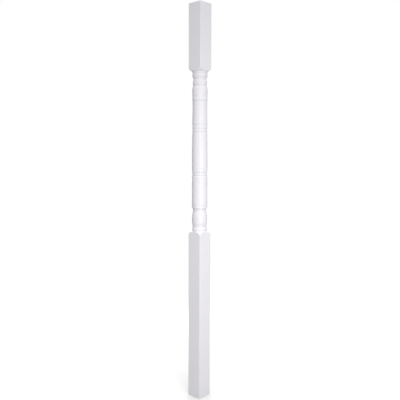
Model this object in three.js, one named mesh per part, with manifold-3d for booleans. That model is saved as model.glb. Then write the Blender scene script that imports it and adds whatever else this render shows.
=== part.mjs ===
import * as THREE from 'three';
import { mergeVertices } from 'three/addons/utils/BufferGeometryUtils.js';
import Module from 'manifold-3d';

// A porch post made from one square timber. The foot and the head stay square, and the length
// between them is turned round on a lathe. Sizes are in millimetres, with +Z up and the origin
// at the middle of the foot.

// The timber
const postHeight = 2438.4;
const blockSide = 98.4;
const arrisRadius = 3.5;

// The square head block, and the shoulders where the squares meet the round stretch: a straight
// chamfer under the head and a quarter round on the foot. The post is cut to length at its foot,
// so the foot block takes what the rest leaves.
const headBlockHeight = 387;
const headShoulderRise = 17;
const footShoulderRise = 20;

// The drums are the widest round stretches, turned just clear of the timber's flat faces. Every
// cut below is a depth from the drums' surface towards the axis.
const drumClearance = 1.5;
const score = { height: 4, cut: 2 };
const fineScore = { height: 4, cut: 1 };

// Mouldings between the foot block and the lower drum
const footNeck = { height: 9.5, cut: 2.4 };
const footBead = { height: 17, cut: 0.9 };
const footQuirk = { height: 7, cut: 4.6 };
const vaseFootHeight = 23;
const vaseBelly = { height: 37.5, cut: 0.8, swell: 0.2 };
const vaseNeckHeight = 41;
const vaseThroat = { height: 7, cut: 6.5 };
const lowerRing = { height: 17, edge: 0.9 };
const lowerDrumHeight = 138.5;

// Rings and grooves between the two drums
const ringBandHeight = 12.5;
const shallowGroove = { height: 6, cut: 1.6 };
const wideRing = { height: 16, edge: 0.6 };
const twinGroove = { height: 8, cut: 3.2 };
const narrowRing = { height: 11, cut: 0.8 };
const ringCollarHeight = 19;

// The upper drum, which tapers to a waist
const upperDrumHeight = 97.5;
const drumTaper = { height: 99, cut: 1.6 };
const waistSweepHeight = 23;
const waist = { height: 1.4, cut: 2.9 };
const waistBand = { height: 14, cut: 1.9 };
const waistBead = { height: 8.1, cut: 1.5 };
const waistNeck = { height: 15, cut: 2.9 };

// The upper shaft
const shaftFoot = { height: 4, cut: 1.3 };
const shaftTaperHeight = 81;
const shaft = { height: 38.5, cut: 3.3 };
const shaftSwell = { height: 4.5, cut: 2.4 };
const shaftNeck = { height: 12.7, cut: 3.5 };
const upperRing = { height: 5, cut: 0.3 };
const upperRingSlopeHeight = 13.3;
const upperQuirk = { height: 8, cut: 2.3 };

// The bulb, the throat and the cup under the head block
const bulb = { height: 48.5, cut: 1.2 };
const bulbTop = { height: 10, cut: 5 };
const bulbCollarHeight = 5;
const throatBand = { height: 18.5, cut: 4.5 };
const throatDropHeight = 14;
const throat = { height: 2, cut: 9.5 };
const cup = { height: 16.5, cut: 1.9 };
const cupRing = { height: 11, cut: 1.2 };
const headNeck = { height: 4.5, cut: 2.3 };
const headBandHeight = 7.5;

// Fineness of the facets. The number of sides is a multiple of eight, which puts an edge of the
// facets on each corner of the square.
const roundSides = 32;
const arrisSteps = 4;
const shoulderSteps = 6;
const sweepSteps = 4;
const lipSteps = 2;

// How far the lathe outline stands clear of the square blocks, and past both ends
const overrun = 20;

const drumRadius = blockSide / 2 - drumClearance;
const cornerInset = blockSide / 2 - arrisRadius;
const cornerReach = cornerInset * Math.SQRT2 + arrisRadius;
const cornerCut = drumRadius - cornerReach;
const quarterTurn = Math.PI / 2;

// A moulding is its height and the points of its outline, each with a depth of cut and a rise
// above the moulding's own foot.
function moulding(height, steps, cutAt, riseAt) {
  const points = [];
  for (let step = 0; step <= steps; step++) {
    const share = step / steps;
    points.push({ cut: cutAt(share), rise: height * riseAt(share) });
  }
  return { height, points };
}

function between(from, to, share) {
  return from + (to - from) * share;
}

// A straight stretch, which is a cylinder, or a cone where its two cuts differ
function straight(height, from, to = from) {
  return moulding(height, 1, (share) => between(from, to, share), (share) => share);
}

// An S-curve that leaves one cut upright and arrives at the next upright
function sweep(height, from, to) {
  const ease = (share) => (1 - Math.cos(Math.PI * share)) / 2;
  return moulding(height, sweepSteps, (share) => between(from, to, ease(share)), (share) => share);
}

// A quarter round that starts upright and ends level
function uprightToLevel(height, steps, from, to) {
  const cutAt = (share) => between(from, to, 1 - Math.cos(quarterTurn * share));
  return moulding(height, steps, cutAt, (share) => Math.sin(quarterTurn * share));
}

// A quarter round that starts level and ends upright
function levelToUpright(height, steps, from, to) {
  const cutAt = (share) => between(from, to, Math.sin(quarterTurn * share));
  return moulding(height, steps, cutAt, (share) => 1 - Math.cos(quarterTurn * share));
}

// A half round whose middle stands at its own cut: a bead where that is the shallowest, and a
// groove where it is the deepest
function halfRound(height, from, middle, to) {
  const bulge = middle - (from + to) / 2;
  const cutAt = (share) => between(from, to, share) + bulge * Math.sin(Math.PI * share);
  return moulding(height, sweepSteps, cutAt, (share) => (1 - Math.cos(Math.PI * share)) / 2);
}

// A ring as wide as the drums, with both of its edges eased
function drumRing({ height, edge }) {
  return halfRound(height, edge, 0, edge);
}

// A fine line cut by the point of the tool, where one surface meets the next
function scoreBetween(below, above, line) {
  return halfRound(line.height, below, Math.max(below, above) + line.cut, above);
}

function scoreAt(surface, line = score) {
  return scoreBetween(surface, surface, line);
}

// The mouldings from the shoulder of the foot block up to the shoulder of the head block
const turning = [
  straight(footNeck.height, footNeck.cut),
  halfRound(footBead.height, footNeck.cut, footBead.cut, footQuirk.cut),
  straight(footQuirk.height, footQuirk.cut),
  sweep(vaseFootHeight, footQuirk.cut, vaseBelly.cut),
  halfRound(vaseBelly.height, vaseBelly.cut, vaseBelly.cut - vaseBelly.swell, vaseBelly.cut),
  sweep(vaseNeckHeight, vaseBelly.cut, vaseThroat.cut),
  straight(vaseThroat.height, vaseThroat.cut),
  scoreAt(vaseThroat.cut),
  drumRing(lowerRing),
  scoreAt(0),
  straight(lowerDrumHeight, 0),
  scoreAt(0, fineScore),
  straight(ringBandHeight, 0),
  halfRound(shallowGroove.height, 0, shallowGroove.cut, wideRing.edge),
  drumRing(wideRing),
  halfRound(twinGroove.height, wideRing.edge, twinGroove.cut, narrowRing.cut),
  straight(narrowRing.height, narrowRing.cut),
  halfRound(twinGroove.height, narrowRing.cut, twinGroove.cut, 0),
  straight(ringCollarHeight, 0),
  scoreAt(0, fineScore),
  straight(upperDrumHeight, 0),
  straight(drumTaper.height, 0, drumTaper.cut),
  sweep(waistSweepHeight, drumTaper.cut, waist.cut),
  straight(waist.height, waist.cut),
  scoreBetween(waist.cut, waistBand.cut, fineScore),
  straight(waistBand.height, waistBand.cut, waistNeck.cut),
  scoreAt(waistNeck.cut, fineScore),
  halfRound(waistBead.height, waistNeck.cut, waistBead.cut, waistNeck.cut),
  straight(waistNeck.height, waistNeck.cut),
  levelToUpright(shaftFoot.height, lipSteps, waistNeck.cut, shaftFoot.cut),
  straight(shaftTaperHeight, shaftFoot.cut, shaft.cut),
  straight(shaft.height, shaft.cut),
  sweep(shaftSwell.height, shaft.cut, shaftSwell.cut),
  sweep(shaftSwell.height, shaftSwell.cut, shaftNeck.cut),
  straight(shaftNeck.height, shaftNeck.cut),
  levelToUpright(upperRing.height, sweepSteps, shaftNeck.cut, upperRing.cut),
  sweep(upperRingSlopeHeight, upperRing.cut, upperQuirk.cut),
  straight(upperQuirk.height, upperQuirk.cut),
  halfRound(bulb.height, upperQuirk.cut, bulb.cut, upperQuirk.cut),
  sweep(bulbTop.height, upperQuirk.cut, bulbTop.cut),
  straight(bulbCollarHeight, bulbTop.cut),
  scoreAt(bulbTop.cut),
  straight(throatBand.height, throatBand.cut),
  uprightToLevel(throatDropHeight, sweepSteps, throatBand.cut, throat.cut),
  straight(throat.height, throat.cut),
  straight(cup.height, throat.cut, cup.cut),
  halfRound(cupRing.height, cup.cut, cupRing.cut, headNeck.cut),
  straight(headNeck.height, headNeck.cut),
  scoreAt(headNeck.cut, fineScore),
  straight(headBandHeight, headNeck.cut),
];

// The whole lathe outline, from the foot up. Beside the squares it stands clear of the timber,
// and it runs past both ends, so that only the shoulders and the round stretch are cut.
function latheOutline() {
  const clearRadius = cornerReach + overrun;
  const turningHeight = turning.reduce((sum, { height }) => sum + height, 0);
  const shouldersHeight = footShoulderRise + headShoulderRise;
  const footBlockHeight = postHeight - headBlockHeight - shouldersHeight - turningHeight;
  const carved = [
    uprightToLevel(footShoulderRise, shoulderSteps, cornerCut, footNeck.cut),
    ...turning,
    straight(headShoulderRise, headNeck.cut, cornerCut),
  ];
  const outline = [];
  const add = (radius, height) => {
    const last = outline.at(-1);
    if (!last || last.x !== radius || last.y !== height) {
      outline.push(new THREE.Vector2(radius, height));
    }
  };
  add(0, -overrun);
  add(clearRadius, -overrun);
  add(clearRadius, footBlockHeight);
  let level = footBlockHeight;
  for (const { height, points } of carved) {
    for (const { cut, rise } of points) {
      add(drumRadius - cut, level + rise);
    }
    level += height;
  }
  add(clearRadius, level);
  add(clearRadius, postHeight + overrun);
  add(0, postHeight + overrun);
  return outline;
}

// The outline turned about the post's axis. Each facet touches the true round at its middle.
function turnedShape() {
  const facetScale = 1 / Math.cos(Math.PI / roundSides);
  const outline = latheOutline();
  for (const point of outline) {
    point.x *= facetScale;
  }
  return new THREE.LatheGeometry(outline, roundSides).rotateX(quarterTurn);
}

// The square timber with its four arrises eased
function timberShape() {
  const outline = new THREE.Shape();
  for (let corner = 0; corner < 4; corner++) {
    const turn = corner * quarterTurn;
    const diagonal = turn + quarterTurn / 2;
    const x = cornerInset * Math.SQRT2 * Math.cos(diagonal);
    const y = cornerInset * Math.SQRT2 * Math.sin(diagonal);
    outline.absarc(x, y, arrisRadius, turn, turn + quarterTurn);
  }
  const options = { depth: postHeight, bevelEnabled: false, curveSegments: arrisSteps };
  return new THREE.ExtrudeGeometry(outline, options);
}

const wasm = await Module();
wasm.setup();

// A closed geometry as a solid that can be cut. Facets that shrink to nothing on the axis are
// left out.
function solidOf(geometry) {
  geometry.deleteAttribute('normal');
  geometry.deleteAttribute('uv');
  const merged = mergeVertices(geometry);
  const triVerts = [];
  for (let corner = 0; corner < merged.index.count; corner += 3) {
    const [a, b, c] = merged.index.array.slice(corner, corner + 3);
    if (a !== b && b !== c && c !== a) {
      triVerts.push(a, b, c);
    }
  }
  const vertProperties = merged.getAttribute('position').array;
  const mesh = new wasm.Mesh({ numProp: 3, vertProperties, triVerts: new Uint32Array(triVerts) });
  return new wasm.Manifold(mesh);
}

function geometryOf(solid) {
  const { vertProperties, triVerts } = solid.getMesh();
  const geometry = new THREE.BufferGeometry();
  geometry.setAttribute('position', new THREE.BufferAttribute(vertProperties, 3));
  geometry.setIndex(new THREE.BufferAttribute(triVerts, 1));
  geometry.computeVertexNormals();
  return geometry;
}

// White paint over wood
const paint = new THREE.MeshStandardMaterial({ color: 0xf0f0f2, roughness: 0.5, metalness: 0 });

const porchPost = new THREE.Mesh(
  geometryOf(solidOf(timberShape()).intersect(solidOf(turnedShape()))),
  paint,
);
porchPost.name = 'porch_post';

const post = new THREE.Group();
post.add(porchPost);

export default post;
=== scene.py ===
import math
from collections import namedtuple

import bpy
import numpy as np
from mathutils import Matrix, Vector


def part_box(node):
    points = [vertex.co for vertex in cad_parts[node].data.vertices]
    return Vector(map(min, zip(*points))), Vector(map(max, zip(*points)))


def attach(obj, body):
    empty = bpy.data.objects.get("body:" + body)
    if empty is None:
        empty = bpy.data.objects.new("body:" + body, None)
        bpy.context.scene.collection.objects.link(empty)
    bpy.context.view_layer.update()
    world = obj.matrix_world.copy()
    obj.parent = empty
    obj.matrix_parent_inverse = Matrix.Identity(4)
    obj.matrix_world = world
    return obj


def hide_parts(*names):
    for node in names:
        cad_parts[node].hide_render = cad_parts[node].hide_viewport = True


# A turned porch post in white paint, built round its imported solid. Everything is in metres, with
# +Z up and the origin at the middle of the foot, except the mouldings, which are in millimetres.

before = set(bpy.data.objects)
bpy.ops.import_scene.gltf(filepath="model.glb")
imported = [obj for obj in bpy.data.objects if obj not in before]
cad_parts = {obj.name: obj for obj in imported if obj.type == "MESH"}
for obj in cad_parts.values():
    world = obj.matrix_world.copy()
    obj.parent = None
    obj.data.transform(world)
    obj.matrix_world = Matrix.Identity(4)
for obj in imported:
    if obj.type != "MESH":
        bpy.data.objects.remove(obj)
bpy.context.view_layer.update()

NODE = "porch_post"
BODY = "root"
BEND = "bend"
MM = 0.001

# The timber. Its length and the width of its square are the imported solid's own.
node_low, node_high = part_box(NODE)
POST_HEIGHT = node_high.z - node_low.z
HALF_SIDE = (node_high.x - node_low.x) / 2
ARRIS_RADIUS = 3.5 * MM
CORNER_INSET = HALF_SIDE - ARRIS_RADIUS
CORNER_REACH = CORNER_INSET * math.sqrt(2) + ARRIS_RADIUS
DRUM_CLEARANCE = 1.5 * MM
DRUM_RADIUS = HALF_SIDE - DRUM_CLEARANCE
HEAD_BLOCK_HEIGHT = 387 * MM
HEAD_SHOULDER_RISE = 17 * MM
FOOT_SHOULDER_RISE = 20 * MM

# The mouldings. A cut is a depth below the surface of the drums, the widest round stretches.
Cut = namedtuple("Cut", "height cut")
Ring = namedtuple("Ring", "height edge")

SCORE = Cut(4, 2)
FINE_SCORE = Cut(4, 1)
FOOT_NECK = Cut(9.5, 2.4)
FOOT_BEAD = Cut(17, 0.9)
FOOT_QUIRK = Cut(7, 4.6)
VASE_FOOT_HEIGHT = 23
VASE_BELLY = Cut(37.5, 0.8)
VASE_SWELL = 0.2
VASE_NECK_HEIGHT = 41
VASE_THROAT = Cut(7, 6.5)
LOWER_RING = Ring(17, 0.9)
LOWER_DRUM_HEIGHT = 138.5
RING_BAND_HEIGHT = 12.5
SHALLOW_GROOVE = Cut(6, 1.6)
WIDE_RING = Ring(16, 0.6)
TWIN_GROOVE = Cut(8, 3.2)
NARROW_RING = Cut(11, 0.8)
RING_COLLAR_HEIGHT = 19
UPPER_DRUM_HEIGHT = 97.5
DRUM_TAPER = Cut(99, 1.6)
WAIST_SWEEP_HEIGHT = 23
WAIST = Cut(1.4, 2.9)
WAIST_BAND = Cut(14, 1.9)
WAIST_BEAD = Cut(8.1, 1.5)
WAIST_NECK = Cut(15, 2.9)
SHAFT_FOOT = Cut(4, 1.3)
SHAFT_TAPER_HEIGHT = 81
SHAFT = Cut(38.5, 3.3)
SHAFT_SWELL = Cut(4.5, 2.4)
SHAFT_NECK = Cut(12.7, 3.5)
UPPER_RING = Cut(5, 0.3)
UPPER_RING_SLOPE_HEIGHT = 13.3
UPPER_QUIRK = Cut(8, 2.3)
BULB = Cut(48.5, 1.2)
BULB_TOP = Cut(10, 5)
BULB_COLLAR_HEIGHT = 5
THROAT_BAND = Cut(18.5, 4.5)
THROAT_DROP_HEIGHT = 14
THROAT = Cut(2, 9.5)
CUP = Cut(16.5, 1.9)
CUP_RING = Cut(11, 1.2)
HEAD_NECK = Cut(4.5, 2.3)
HEAD_BAND_HEIGHT = 7.5

# Paint rounds every edge a little. The creases of the shoulders are trimmed back this far to
# each side, and the turned outline is blurred by a bell curve of this width, cut off at so many
# widths. The edges of the sawn ends are eased by this radius.
CREASE_TRIM = 1.1 * MM
NECK_TRIM = 0.7 * MM
TURNED_BLUR = 0.35 * MM
BLUR_WIDTHS = 4
END_EASE = 1.4 * MM

# Fineness of the mesh. A row of the round stretch comes at least once in each turn of the
# outline by this angle, and rows grow apart by this share of their distance from a bend. The
# first and last rows of a stretch keep clear of the rounded edges by the join gap and the guard.
CURVE_STEPS = 24
SHOULDER_STEPS = 9
EDGE_STEPS = 4
OUTLINE_SAMPLE = 0.1 * MM
ROW_TURN = math.radians(16)
ROW_GROWTH = 0.7
FINE_ROW = 0.3 * MM
COARSE_ROW = 22 * MM
JOIN_GAP = 2.5 * MM
GUARD = 0.6 * MM
FOOT_BLOCK_ROWS = 18
HEAD_BLOCK_ROWS = 7
FLAT_COLUMNS = 20
ARRIS_COLUMNS = 6
CAP_RINGS = (0.97, 0.8, 0.55, 0.28)

# The photograph's view. Its focal length is in pixels of a frame that is this wide.
PHOTO_WIDTH = 400
PHOTO_FOCAL = 524.75
SENSOR_WIDTH = 36.0
CAMERA_AZIMUTH = 42.877
CAMERA_DISTANCE = 3.24558
CAMERA_HEIGHT = 1.55575
CAMERA_PITCH = -5.316
CAMERA_YAW = 0.045
CAMERA_ROLL = 0.169

# Light. Azimuths are measured as the camera's is, from the front towards +X, and each lamp is a
# soft panel that faces the post. The sky is brighter overhead than at the horizon.
WHITE = (1, 1, 1, 1)
Lamp = namedtuple("Lamp", "azimuth height power")
KEY = Lamp(62, 1.15, 19.9)
FILL = Lamp(50, 1.9, 4.6)
BACK = Lamp(223, 1.3, 15)
LAMP_DISTANCE = 2.0
LAMP_AIM_HEIGHT = 1.25
LAMP_WIDTH = 1.0
LAMP_TALL = 1.2
SKY_HORIZON = 0.2
SKY_ZENITH = 1.43

# The floor gives back light as the albedo says. To the camera it is paler, and it pales outwards
# from the post's foot over the fade: painted shade round the foot, where the post's faint shadow
# also falls.
FLOOR_SIZE = 80
FLOOR_ALBEDO = 0.32
FLOOR_SEEN_NEAR = 0.8
FLOOR_SEEN_FAR = 1.0
FLOOR_FADE = 1.6

# The paint, with a faint unevenness of tone and gloss. It lies thin on the edges, and in the
# creases it is darkened by dust and by painted shade. A bend is the surface's curvature in radians
# per metre, above zero on an edge and below it in a crease. A fade is where a noise turns from none
# to all.
PAINT_LIGHT = (0.875, 0.862, 0.897, 1)
PAINT_SHADE = (0.857, 0.842, 0.883, 1)
PAINT_ON_EDGE = (0.72, 0.675, 0.62, 1)
# The crease colour is dust and painted shade: the hollows are darkened as shade would darken them.
CREASE_DUST_AND_SHADE = (0.66, 0.645, 0.65, 1)
EDGE_SHOW = 0.6
CREASE_DUST_AND_SHADE_SHOW = 0.2
SOFT_BEND = 130
SHARP_BEND = 500
TONE_PATCH = 0.15
WEAR_PATCH = 0.05
WEAR_FADE = (0.4, 0.65)
PAINT_ROUGHNESS = 0.42
ROUGHNESS_SPREAD = 0.12
EDGE_ROUGHNESS = 0.1
CREASE_ROUGHNESS = 0.2

# The relief that shows through the paint, as the size and the depth of each texture. Brush marks
# run up the blocks and round the turned stretch. The timber's pith lies beside the post. The
# wave texture, which makes the growth rings, turns by the wave rate in radians at a scale of 1.
NOISE_DETAIL = 2
WAVE_RATE = 20
PITH = (-0.03, 0.055, 0)
GROWTH_RING = 4 * MM
RING_DEPTH = 0.11 * MM
RING_WANDER = 16
WANDER_SCALE = 0.12
WANDER_DETAIL = 1
GRAIN_STRETCH = 0.12
RING_PATCH = 30 * MM
RING_FADE = (0.35, 0.65)
FAINT_RING = 0.3
BRISTLE = 1.1 * MM
BRUSH_STRETCH = 40
BRUSH_DEPTH = 0.09 * MM
PEEL = 1.6 * MM
PEEL_DEPTH = 0.02 * MM

# The two sawn ends, with a thin coat over the end grain. The saw marks are lines across an end,
# and so tall that they hardly change along the post.
END_LIGHT = (0.8, 0.775, 0.73, 1)
END_SHADE = (0.62, 0.57, 0.49, 1)
END_FADE = 0.3 * MM
END_RING_DEPTH = 0.16 * MM
SAW_MARK = 2.2 * MM
SAW_STRETCH = 30
SAW_TALL = 1.0
SAW_DEPTH = 0.12 * MM
END_ROUGHNESS = 0.72


def between(start, end, share):
    return start + (end - start) * share


def moulding(height, steps, cut_at, rise_at):
    """A moulding's height and the points of its outline, as (cut, rise above its own foot)."""
    shares = [step / steps for step in range(steps + 1)]
    return height, [(cut_at(share), height * rise_at(share)) for share in shares]


def straight(height, start, end=None):
    """A cylinder, or a cone where its two cuts differ."""
    end = start if end is None else end
    return moulding(height, 1, lambda s: between(start, end, s), lambda s: s)


def sweep(height, start, end):
    """An S-curve that leaves one cut upright and arrives at the next upright."""
    return moulding(
        height,
        CURVE_STEPS,
        lambda s: between(start, end, (1 - math.cos(math.pi * s)) / 2),
        lambda s: s,
    )


def upright_to_level(height, start, end):
    """A quarter round that starts upright and ends level."""
    return moulding(
        height,
        CURVE_STEPS,
        lambda s: between(start, end, 1 - math.cos(math.pi / 2 * s)),
        lambda s: math.sin(math.pi / 2 * s),
    )


def level_to_upright(height, start, end):
    """A quarter round that starts level and ends upright."""
    return moulding(
        height,
        CURVE_STEPS,
        lambda s: between(start, end, math.sin(math.pi / 2 * s)),
        lambda s: 1 - math.cos(math.pi / 2 * s),
    )


def half_round(height, start, middle, end):
    """A bead where its middle is the shallowest cut, and a groove where it is the deepest."""
    bulge = middle - (start + end) / 2
    return moulding(
        height,
        CURVE_STEPS,
        lambda s: between(start, end, s) + bulge * math.sin(math.pi * s),
        lambda s: (1 - math.cos(math.pi * s)) / 2,
    )


def drum_ring(ring):
    """A ring as wide as the drums, with both of its edges eased."""
    return half_round(ring.height, ring.edge, 0, ring.edge)


def score_between(below, above, line):
    """A fine line cut by the point of the tool, where one surface meets the next."""
    return half_round(line.height, below, max(below, above) + line.cut, above)


def score_at(surface, line=SCORE):
    return score_between(surface, surface, line)


# The mouldings from the shoulder of the foot block up to the shoulder of the head block
TURNING = [
    straight(FOOT_NECK.height, FOOT_NECK.cut),
    half_round(FOOT_BEAD.height, FOOT_NECK.cut, FOOT_BEAD.cut, FOOT_QUIRK.cut),
    straight(FOOT_QUIRK.height, FOOT_QUIRK.cut),
    sweep(VASE_FOOT_HEIGHT, FOOT_QUIRK.cut, VASE_BELLY.cut),
    half_round(VASE_BELLY.height, VASE_BELLY.cut, VASE_BELLY.cut - VASE_SWELL, VASE_BELLY.cut),
    sweep(VASE_NECK_HEIGHT, VASE_BELLY.cut, VASE_THROAT.cut),
    straight(VASE_THROAT.height, VASE_THROAT.cut),
    score_at(VASE_THROAT.cut),
    drum_ring(LOWER_RING),
    score_at(0),
    straight(LOWER_DRUM_HEIGHT, 0),
    score_at(0, FINE_SCORE),
    straight(RING_BAND_HEIGHT, 0),
    half_round(SHALLOW_GROOVE.height, 0, SHALLOW_GROOVE.cut, WIDE_RING.edge),
    drum_ring(WIDE_RING),
    half_round(TWIN_GROOVE.height, WIDE_RING.edge, TWIN_GROOVE.cut, NARROW_RING.cut),
    straight(NARROW_RING.height, NARROW_RING.cut),
    half_round(TWIN_GROOVE.height, NARROW_RING.cut, TWIN_GROOVE.cut, 0),
    straight(RING_COLLAR_HEIGHT, 0),
    score_at(0, FINE_SCORE),
    straight(UPPER_DRUM_HEIGHT, 0),
    straight(DRUM_TAPER.height, 0, DRUM_TAPER.cut),
    sweep(WAIST_SWEEP_HEIGHT, DRUM_TAPER.cut, WAIST.cut),
    straight(WAIST.height, WAIST.cut),
    score_between(WAIST.cut, WAIST_BAND.cut, FINE_SCORE),
    straight(WAIST_BAND.height, WAIST_BAND.cut, WAIST_NECK.cut),
    score_at(WAIST_NECK.cut, FINE_SCORE),
    half_round(WAIST_BEAD.height, WAIST_NECK.cut, WAIST_BEAD.cut, WAIST_NECK.cut),
    straight(WAIST_NECK.height, WAIST_NECK.cut),
    level_to_upright(SHAFT_FOOT.height, WAIST_NECK.cut, SHAFT_FOOT.cut),
    straight(SHAFT_TAPER_HEIGHT, SHAFT_FOOT.cut, SHAFT.cut),
    straight(SHAFT.height, SHAFT.cut),
    sweep(SHAFT_SWELL.height, SHAFT.cut, SHAFT_SWELL.cut),
    sweep(SHAFT_SWELL.height, SHAFT_SWELL.cut, SHAFT_NECK.cut),
    straight(SHAFT_NECK.height, SHAFT_NECK.cut),
    level_to_upright(UPPER_RING.height, SHAFT_NECK.cut, UPPER_RING.cut),
    sweep(UPPER_RING_SLOPE_HEIGHT, UPPER_RING.cut, UPPER_QUIRK.cut),
    straight(UPPER_QUIRK.height, UPPER_QUIRK.cut),
    half_round(BULB.height, UPPER_QUIRK.cut, BULB.cut, UPPER_QUIRK.cut),
    sweep(BULB_TOP.height, UPPER_QUIRK.cut, BULB_TOP.cut),
    straight(BULB_COLLAR_HEIGHT, BULB_TOP.cut),
    score_at(BULB_TOP.cut),
    straight(THROAT_BAND.height, THROAT_BAND.cut),
    upright_to_level(THROAT_DROP_HEIGHT, THROAT_BAND.cut, THROAT.cut),
    straight(THROAT.height, THROAT.cut),
    straight(CUP.height, THROAT.cut, CUP.cut),
    half_round(CUP_RING.height, CUP.cut, CUP_RING.cut, HEAD_NECK.cut),
    straight(HEAD_NECK.height, HEAD_NECK.cut),
    score_at(HEAD_NECK.cut, FINE_SCORE),
    straight(HEAD_BAND_HEIGHT, HEAD_NECK.cut),
]

# Where the round stretch and the two shoulders stand on the post
TURNING_HEIGHT = sum(height for height, _ in TURNING) * MM
HEAD_NECK_TOP = POST_HEIGHT - HEAD_BLOCK_HEIGHT - HEAD_SHOULDER_RISE
FOOT_NECK_BASE = HEAD_NECK_TOP - TURNING_HEIGHT
FOOT_BLOCK_TOP = FOOT_NECK_BASE - FOOT_SHOULDER_RISE
FOOT_NECK_RADIUS = DRUM_RADIUS - FOOT_NECK.cut * MM
HEAD_NECK_RADIUS = DRUM_RADIUS - HEAD_NECK.cut * MM


def turning_outline():
    """The outline of the round stretch as (radius, height), each moulding on the one below."""
    points = []
    level = FOOT_NECK_BASE
    for height, shape in TURNING:
        points += [(DRUM_RADIUS - cut * MM, level + rise * MM) for cut, rise in shape]
        level += height * MM
    return np.array(points)


def run_along(points):
    """How far along an outline each of its points is."""
    steps = np.linalg.norm(np.diff(points, axis=0), axis=1)
    return np.concatenate([[0], np.cumsum(steps)])


def points_at(points, places):
    """The points of an outline that lie this far along it."""
    run = run_along(points)
    return np.column_stack([np.interp(places, run, points[:, axis]) for axis in range(2)])


def blurred(points):
    """The outline in fine even steps, with its edges rounded as paint rounds them."""
    length = run_along(points)[-1]
    even = points_at(points, np.linspace(0, length, round(length / OUTLINE_SAMPLE)))
    reach = math.ceil(BLUR_WIDTHS * TURNED_BLUR / OUTLINE_SAMPLE)
    offsets = np.arange(-reach, reach + 1) * OUTLINE_SAMPLE
    weights = np.exp(-((offsets / TURNED_BLUR) ** 2) / 2)
    padded = np.pad(even, ((reach, reach), (0, 0)), mode="edge")
    smooth = [np.convolve(padded[:, axis], weights / weights.sum(), "valid") for axis in range(2)]
    return np.column_stack(smooth)


def row_spacing(points):
    """How far apart rows may be at each point: close in a bend, wider away from one."""
    steps = np.diff(points, axis=0)
    headings = np.unwrap(np.arctan2(steps[:, 1], steps[:, 0]))
    turn = np.abs(np.gradient(headings)) / OUTLINE_SAMPLE
    spacing = np.clip(ROW_TURN / np.maximum(turn, 1 / COARSE_ROW), FINE_ROW, COARSE_ROW)
    growth = ROW_GROWTH * OUTLINE_SAMPLE
    for order in (range(1, len(spacing)), range(len(spacing) - 2, -1, -1)):
        previous = spacing[0] if order.step > 0 else spacing[-1]
        for index in order:
            previous = min(spacing[index], previous + growth)
            spacing[index] = previous
    return spacing


def round_rows():
    """The rows of the round stretch between the two shoulders, as (radius, height)."""
    outline = blurred(turning_outline())
    heights = outline[:, 1]
    clear = (heights > FOOT_NECK_BASE + JOIN_GAP) & (heights < HEAD_NECK_TOP - JOIN_GAP)
    outline = outline[clear]
    steps = np.linalg.norm(np.diff(outline, axis=0), axis=1)
    count = np.concatenate([[0], np.cumsum(steps / row_spacing(outline))])
    wanted = np.linspace(0, count[-1], math.ceil(count[-1]) + 1)
    places = np.interp(wanted, count, run_along(outline))
    return [tuple(point) for point in points_at(outline, places)]


def point_between(a, b, share):
    return (between(a[0], b[0], share), between(a[1], b[1], share))


def pulled_back(corner, towards, trim):
    """The point a trim's length from the corner, towards a neighbour that is further away."""
    return point_between(corner, towards, trim / math.dist(corner, towards))


def rounded_corner(before, corner, after):
    """The points of a rounded edge from before to after, pulled towards the corner."""
    points = []
    for step in range(EDGE_STEPS + 1):
        share = step / EDGE_STEPS
        near = point_between(before, corner, share)
        far = point_between(corner, after, share)
        points.append(point_between(near, far, share))
    return points


def end_edge(reach, end, up):
    """The eased edge of a sawn end, from the end towards the block, which lies that way up."""
    points = []
    for step in range(EDGE_STEPS + 1):
        angle = math.pi / 2 * step / EDGE_STEPS
        inset = END_EASE * (1 - math.sin(angle))
        rise = END_EASE * (1 - math.cos(angle))
        points.append((reach - inset, end + up * rise))
    return points


def block_rows(reach, bottom, top, count):
    """Points up a flat side between two heights, neither end included."""
    heights = [bottom + GUARD]
    heights += [between(bottom, top, row / count) for row in range(1, count)]
    heights += [top - GUARD]
    return [(reach, height) for height in heights]


def foot_shoulder(angle):
    """A point of the foot block's quarter round, 0 at the block's corner and 90 at the neck."""
    radius = FOOT_NECK_RADIUS + (CORNER_REACH - FOOT_NECK_RADIUS) * math.cos(angle)
    return (radius, FOOT_BLOCK_TOP + FOOT_SHOULDER_RISE * math.sin(angle))


def foot_end(reach):
    """The foot block and its shoulder in the direction where the block reaches this far."""
    spread = CORNER_REACH - FOOT_NECK_RADIUS
    crease_angle = math.acos(min(1, (reach - FOOT_NECK_RADIUS) / spread))
    pace = math.hypot(spread * math.sin(crease_angle), FOOT_SHOULDER_RISE * math.cos(crease_angle))
    first_angle = crease_angle + CREASE_TRIM / pace
    last_angle = math.pi / 2 - NECK_TRIM / spread
    crease = foot_shoulder(crease_angle)
    below = (reach, crease[1] - CREASE_TRIM)
    points = end_edge(reach, 0, 1)
    points += block_rows(reach, END_EASE, below[1], FOOT_BLOCK_ROWS)
    points += rounded_corner(below, crease, foot_shoulder(first_angle))
    for step in range(1, SHOULDER_STEPS):
        points.append(foot_shoulder(between(first_angle, last_angle, step / SHOULDER_STEPS)))
    neck = (FOOT_NECK_RADIUS, FOOT_NECK_BASE)
    above = (FOOT_NECK_RADIUS, FOOT_NECK_BASE + NECK_TRIM)
    return points + rounded_corner(foot_shoulder(last_angle), neck, above)


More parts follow.
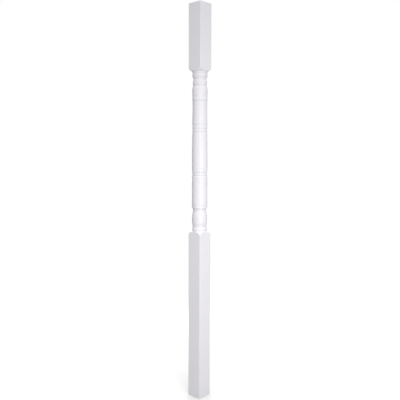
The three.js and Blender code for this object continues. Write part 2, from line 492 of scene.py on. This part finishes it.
def head_end(reach):
    """The head's chamfer and block in the direction where the block reaches this far."""
    neck = (HEAD_NECK_RADIUS, HEAD_NECK_TOP)
    tip = (CORNER_REACH, HEAD_NECK_TOP + HEAD_SHOULDER_RISE)
    crease = point_between(neck, tip, (reach - neck[0]) / (tip[0] - neck[0]))
    above = (reach, crease[1] + CREASE_TRIM)
    first = pulled_back(neck, crease, NECK_TRIM)
    last = pulled_back(crease, neck, CREASE_TRIM)
    points = rounded_corner((neck[0], neck[1] - NECK_TRIM), neck, first)
    for step in range(1, SHOULDER_STEPS):
        points.append(point_between(first, last, step / SHOULDER_STEPS))
    points += rounded_corner(last, crease, above)
    points += block_rows(reach, above[1], POST_HEIGHT - END_EASE, HEAD_BLOCK_ROWS)
    return points + end_edge(reach, POST_HEIGHT, -1)[::-1]


def column_directions():
    """The directions of the mesh's columns, as (angle, reach of the eased square)."""
    shares = [2 * step / FLAT_COLUMNS - 1 for step in range(1, FLAT_COLUMNS)]
    spans = [GUARD - CORNER_INSET]
    spans += [CORNER_INSET * share for share in shares]
    spans += [CORNER_INSET - GUARD]
    quarter = [(HALF_SIDE, span) for span in spans]
    for step in range(ARRIS_COLUMNS + 1):
        angle = math.pi / 2 * step / ARRIS_COLUMNS
        x = CORNER_INSET + ARRIS_RADIUS * math.cos(angle)
        y = CORNER_INSET + ARRIS_RADIUS * math.sin(angle)
        quarter.append((x, y))
    directions = []
    for side in range(4):
        for x, y in quarter:
            directions.append((math.atan2(y, x) + side * math.pi / 2, math.hypot(x, y)))
    return directions


def add_strip(faces, lower, upper):
    """Faces between two rings of vertices, looking outwards or, for a cap, up."""
    count = len(lower)
    for column in range(count):
        following = (column + 1) % count
        faces.append((lower[column], lower[following], upper[following], upper[column]))


def add_cap(vertices, faces, ring, turned_over):
    """Closes the post at a ring with smaller rings and a middle."""
    cap = []
    outer = ring
    rim = [vertices[index] for index in ring]
    for scale in CAP_RINGS:
        inner = list(range(len(vertices), len(vertices) + len(rim)))
        vertices += [(x * scale, y * scale, z) for x, y, z in rim]
        add_strip(cap, outer, inner)
        outer = inner
    middle = len(vertices)
    vertices.append((0, 0, rim[0][2]))
    cap += [(index, outer[(column + 1) % len(outer)], middle) for column, index in enumerate(outer)]
    faces += [face[::-1] for face in cap] if turned_over else cap


def store_bend(mesh):
    """Keeps with each vertex how sharply the surface bends there, for the paint."""
    count = len(mesh.vertices)
    places = np.empty(count * 3)
    normals = np.empty(count * 3)
    ends = np.empty(len(mesh.edges) * 2, dtype=int)
    mesh.vertices.foreach_get("co", places)
    mesh.vertices.foreach_get("normal", normals)
    mesh.edges.foreach_get("vertices", ends)
    start, end = ends.reshape(-1, 2).T
    span = np.diff(places.reshape(-1, 3)[[start, end]], axis=0)[0]
    turn = np.diff(normals.reshape(-1, 3)[[start, end]], axis=0)[0]
    bends = (turn * span).sum(axis=1) / (span**2).sum(axis=1)
    totals = np.bincount(start, bends, count) + np.bincount(end, bends, count)
    values = (totals / 2).astype(np.float32)
    mesh.attributes.new(BEND, "FLOAT", "POINT").data.foreach_set("value", values)


def post_columns():
    """The columns of the mesh, each with the points of the post's outline in its direction."""
    rows_between = round_rows()
    columns = []
    for angle, reach in column_directions():
        outline = foot_end(reach) + rows_between + head_end(reach)
        columns.append([(r * math.cos(angle), r * math.sin(angle), z) for r, z in outline])
    return columns


def post_surface():
    """The vertices and faces of the whole post, row by row, with its two caps."""
    columns = post_columns()
    rows = len(columns[0])
    width = len(columns)
    vertices = [column[row] for row in range(rows) for column in columns]
    rings = [list(range(row * width, (row + 1) * width)) for row in range(rows)]
    faces = []
    for lower, upper in zip(rings, rings[1:]):
        add_strip(faces, lower, upper)
    add_cap(vertices, faces, rings[0], turned_over=True)
    add_cap(vertices, faces, rings[-1], turned_over=False)
    return vertices, faces


def make_post():
    vertices, faces = post_surface()
    mesh = bpy.data.meshes.new("turned_post")
    mesh.from_pydata(vertices, [], faces)
    mesh.validate()
    mesh.shade_smooth()
    store_bend(mesh)
    post = bpy.data.objects.new("turned_post", mesh)
    bpy.context.scene.collection.objects.link(post)
    return post


def wired(tree, kind, inputs, **settings):
    """A new node with its settings made and its inputs set to values or joined to sockets."""
    node = tree.nodes.new(kind)
    for name, value in settings.items():
        setattr(node, name, value)
    for name, value in inputs.items():
        if isinstance(value, bpy.types.NodeSocket):
            tree.links.new(value, node.inputs[name])
        else:
            node.inputs[name].default_value = value
    return node


def maths(tree, operation, *values):
    inputs = dict(enumerate(values))
    return wired(tree, "ShaderNodeMath", inputs, operation=operation).outputs[0]


def vector_maths(tree, operation, *values):
    inputs = dict(enumerate(values))
    return wired(tree, "ShaderNodeVectorMath", inputs, operation=operation).outputs[0]


def ramped(tree, value, low, high, to_low=0, to_high=1):
    """The value's smooth way between two levels, and level beyond them."""
    inputs = {0: value, 1: low, 2: high, 3: to_low, 4: to_high}
    ramp = wired(tree, "ShaderNodeMapRange", inputs, interpolation_type="SMOOTHSTEP")
    return ramp.outputs[0]


def mixed_color(tree, share, first, second):
    """A mix of two colours. The node names its sockets alike for each type, so they go by number."""
    inputs = {0: share, 6: first, 7: second}
    return wired(tree, "ShaderNodeMix", inputs, data_type="RGBA").outputs[2]


def mixed_number(tree, share, first, second):
    """A mix of two numbers, with its sockets by number too."""
    inputs = {0: share, 2: first, 3: second}
    return wired(tree, "ShaderNodeMix", inputs, data_type="FLOAT").outputs[0]


def noise(tree, place, sizes):
    """Noise whose lumps have these sizes along the three axes."""
    scaled = vector_maths(tree, "DIVIDE", place, sizes)
    inputs = {"Vector": scaled, "Scale": 1, "Detail": NOISE_DETAIL}
    return wired(tree, "ShaderNodeTexNoise", inputs).outputs[0]


def growth_rings(tree, place):
    """The timber's growth rings, from 0 to 1, which run up the post and wander slowly."""
    from_pith = vector_maths(tree, "SUBTRACT", place, PITH)
    stretched = vector_maths(tree, "MULTIPLY", from_pith, (1, 1, GRAIN_STRETCH))
    inputs = {
        "Vector": stretched,
        "Scale": math.tau / (WAVE_RATE * GROWTH_RING),
        "Distortion": RING_WANDER,
        "Detail": WANDER_DETAIL,
        "Detail Scale": WANDER_SCALE,
    }
    settings = {"wave_type": "RINGS", "rings_direction": "Z"}
    return wired(tree, "ShaderNodeTexWave", inputs, **settings).outputs["Fac"]


def ring_strength(tree, place):
    """How clearly the growth rings show, which changes from patch to patch along the grain."""
    patches = noise(tree, place, (RING_PATCH, RING_PATCH, RING_PATCH / GRAIN_STRETCH))
    return ramped(tree, patches, *RING_FADE, FAINT_RING, 1)


def turned_share(tree, height):
    """1 on the round stretch and 0 on the two blocks."""
    above_foot = ramped(tree, height, FOOT_BLOCK_TOP, FOOT_NECK_BASE)
    head_block_base = HEAD_NECK_TOP + HEAD_SHOULDER_RISE
    below_head = ramped(tree, height, HEAD_NECK_TOP, head_block_base, 1, 0)
    return maths(tree, "MULTIPLY", above_foot, below_head)


def end_share(tree, height):
    """1 on the two sawn ends and 0 everywhere between them."""
    from_middle = maths(tree, "ABSOLUTE", maths(tree, "SUBTRACT", height, POST_HEIGHT / 2))
    edge = POST_HEIGHT / 2 - END_FADE
    return ramped(tree, from_middle, edge, edge + END_FADE)


def brush_marks(tree, place, turned):
    """Fine strokes, which run round where the post is turned and up it elsewhere."""
    stroke = BRISTLE * BRUSH_STRETCH
    upright = noise(tree, place, (BRISTLE, BRISTLE, stroke))
    level = noise(tree, place, (stroke, stroke, BRISTLE))
    return mixed_number(tree, turned, upright, level)


def scaled_sum(tree, *pairs):
    """The sum of each value times its depth."""
    total = 0
    for value, depth in pairs:
        total = maths(tree, "MULTIPLY_ADD", value, depth, total)
    return total


Masks = namedtuple("Masks", "rings tone edges creases ends")


def paint_masks(tree, place, height):
    """Where each change of the paint lies, as values from 0 to 1."""
    bend = wired(tree, "ShaderNodeAttribute", {}, attribute_name=BEND).outputs["Fac"]
    sharp = ramped(tree, bend, SOFT_BEND, SHARP_BEND)
    wear = noise(tree, place, (WEAR_PATCH, WEAR_PATCH, WEAR_PATCH))
    return Masks(
        rings=growth_rings(tree, place),
        tone=noise(tree, place, (TONE_PATCH, TONE_PATCH, TONE_PATCH)),
        edges=maths(tree, "MULTIPLY", sharp, ramped(tree, wear, *WEAR_FADE)),
        # In the creases dust and painted shade darken the paint, and dust roughens it.
        creases=ramped(tree, bend, -SOFT_BEND, -SHARP_BEND),
        ends=end_share(tree, height),
    )


def paint_color(tree, masks):
    edges = maths(tree, "MULTIPLY", masks.edges, EDGE_SHOW)
    creases = maths(tree, "MULTIPLY", masks.creases, CREASE_DUST_AND_SHADE_SHOW)
    coat = mixed_color(tree, masks.tone, PAINT_SHADE, PAINT_LIGHT)
    coat = mixed_color(tree, edges, coat, PAINT_ON_EDGE)
    # Dust and painted shade darken the paint in the creases.
    coat = mixed_color(tree, creases, coat, CREASE_DUST_AND_SHADE)
    end_color = mixed_color(tree, masks.rings, END_SHADE, END_LIGHT)
    return mixed_color(tree, masks.ends, coat, end_color)


def paint_roughness(tree, masks):
    smoothest = PAINT_ROUGHNESS - ROUGHNESS_SPREAD / 2
    coat = maths(tree, "MULTIPLY_ADD", masks.tone, ROUGHNESS_SPREAD, smoothest)
    coat = maths(tree, "MULTIPLY_ADD", masks.edges, EDGE_ROUGHNESS, coat)
    coat = maths(tree, "MULTIPLY_ADD", masks.creases, CREASE_ROUGHNESS, coat)
    return mixed_number(tree, masks.ends, coat, END_ROUGHNESS)


def paint_relief(tree, masks, place, height):
    """How far grain, brush marks and saw marks stand up, in metres."""
    raised = maths(tree, "MULTIPLY", masks.rings, ring_strength(tree, place))
    brushed = brush_marks(tree, place, turned_share(tree, height))
    peel = noise(tree, place, (PEEL, PEEL, PEEL))
    sawn = noise(tree, place, (SAW_MARK, SAW_MARK * SAW_STRETCH, SAW_TALL))
    sides = scaled_sum(tree, (raised, RING_DEPTH), (brushed, BRUSH_DEPTH), (peel, PEEL_DEPTH))
    ends = scaled_sum(tree, (masks.rings, END_RING_DEPTH), (sawn, SAW_DEPTH))
    return mixed_number(tree, masks.ends, sides, ends)


def make_paint():
    """Satin white paint brushed on softwood, which shows its growth rings a little."""
    paint = bpy.data.materials.new("white_paint")
    paint.use_nodes = True
    tree = paint.node_tree
    shader = tree.nodes["Principled BSDF"]
    place = wired(tree, "ShaderNodeTexCoord", {}).outputs["Object"]
    height = wired(tree, "ShaderNodeSeparateXYZ", {0: place}).outputs["Z"]
    masks = paint_masks(tree, place, height)
    relief = paint_relief(tree, masks, place, height)
    bump = wired(tree, "ShaderNodeBump", {"Strength": 1, "Distance": 1, "Height": relief})
    tree.links.new(paint_color(tree, masks), shader.inputs["Base Color"])
    tree.links.new(paint_roughness(tree, masks), shader.inputs["Roughness"])
    tree.links.new(bump.outputs[0], shader.inputs["Normal"])
    return paint


def around(azimuth, distance, height):
    """The point at this azimuth and distance from the post's axis."""
    angle = math.radians(azimuth)
    return Vector((math.sin(angle) * distance, -math.cos(angle) * distance, height))


def add_camera():
    lens = bpy.data.cameras.new("camera")
    lens.sensor_fit = "HORIZONTAL"
    lens.sensor_width = SENSOR_WIDTH
    lens.lens = PHOTO_FOCAL * SENSOR_WIDTH / PHOTO_WIDTH
    camera = bpy.data.objects.new("camera", lens)
    camera.matrix_world = (
        Matrix.Translation(around(CAMERA_AZIMUTH, CAMERA_DISTANCE, CAMERA_HEIGHT))
        @ Matrix.Rotation(math.radians(CAMERA_AZIMUTH - CAMERA_YAW), 4, "Z")
        @ Matrix.Rotation(math.radians(90 + CAMERA_PITCH), 4, "X")
        @ Matrix.Rotation(math.radians(CAMERA_ROLL), 4, "Z")
    )
    bpy.context.scene.collection.objects.link(camera)
    bpy.context.scene.camera = camera


def add_lamp(name, lamp):
    light = bpy.data.lights.new(name, "AREA")
    light.shape = "RECTANGLE"
    light.size = LAMP_WIDTH
    light.size_y = LAMP_TALL
    light.energy = lamp.power
    panel = bpy.data.objects.new(name, light)
    place = around(lamp.azimuth, LAMP_DISTANCE, lamp.height)
    facing = (Vector((0, 0, LAMP_AIM_HEIGHT)) - place).to_track_quat("-Z", "Y")
    panel.matrix_world = Matrix.Translation(place) @ facing.to_matrix().to_4x4()
    panel.visible_camera = False
    bpy.context.scene.collection.objects.link(panel)


def seen_apart(tree, lit, seen):
    """One shader for the light that is given, and another for what the camera sees."""
    path = wired(tree, "ShaderNodeLightPath", {})
    inputs = {0: path.outputs["Is Camera Ray"], 1: lit.outputs[0], 2: seen.outputs[0]}
    return wired(tree, "ShaderNodeMixShader", inputs).outputs[0]


def light_world():
    """White behind the post, and a soft sky that is brighter overhead for its light."""
    world = bpy.data.worlds.new("studio")
    world.use_nodes = True
    tree = world.node_tree
    tree.nodes.clear()
    direction = wired(tree, "ShaderNodeTexCoord", {}).outputs["Generated"]
    upward = wired(tree, "ShaderNodeSeparateXYZ", {0: direction}).outputs["Z"]
    levels = {"Value": upward, "To Min": SKY_HORIZON, "To Max": SKY_ZENITH}
    sky = wired(tree, "ShaderNodeMapRange", levels).outputs[0]
    lit = wired(tree, "ShaderNodeBackground", {"Color": WHITE, "Strength": sky})
    seen = wired(tree, "ShaderNodeBackground", {"Color": WHITE})
    wired(tree, "ShaderNodeOutputWorld", {"Surface": seen_apart(tree, lit, seen)})
    bpy.context.scene.world = world


def floor_surface():
    surface = bpy.data.materials.new("floor")
    surface.use_nodes = True
    tree = surface.node_tree
    tree.nodes.clear()
    lit = wired(tree, "ShaderNodeBsdfDiffuse", {"Color": (*[FLOOR_ALBEDO] * 3, 1)})
    place = wired(tree, "ShaderNodeTexCoord", {}).outputs["Object"]
    distance = wired(tree, "ShaderNodeVectorMath", {0: place}, operation="LENGTH").outputs["Value"]
    # Painted shade: the seen floor is darker near the foot and pales outwards over the fade.
    pale = ramped(tree, distance, 0, FLOOR_FADE, FLOOR_SEEN_NEAR, FLOOR_SEEN_FAR)
    seen = wired(tree, "ShaderNodeBsdfDiffuse", {"Color": pale})
    wired(tree, "ShaderNodeOutputMaterial", {"Surface": seen_apart(tree, lit, seen)})
    return surface


def add_floor():
    """A wide pale floor that looks almost as white as the space behind the post."""
    half = FLOOR_SIZE / 2
    mesh = bpy.data.meshes.new("floor")
    corners = [(-half, -half, 0), (half, -half, 0), (half, half, 0), (-half, half, 0)]
    mesh.from_pydata(corners, [], [(0, 1, 2, 3)])
    mesh.materials.append(floor_surface())
    floor = bpy.data.objects.new("floor", mesh)
    bpy.context.scene.collection.objects.link(floor)


add_camera()
post = make_post()
post.data.materials.append(make_paint())
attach(post, BODY)
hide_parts(NODE)
add_lamp("key", KEY)
add_lamp("fill", FILL)
add_lamp("back", BACK)
light_world()
add_floor()
bpy.context.scene.view_settings.view_transform = "Standard"
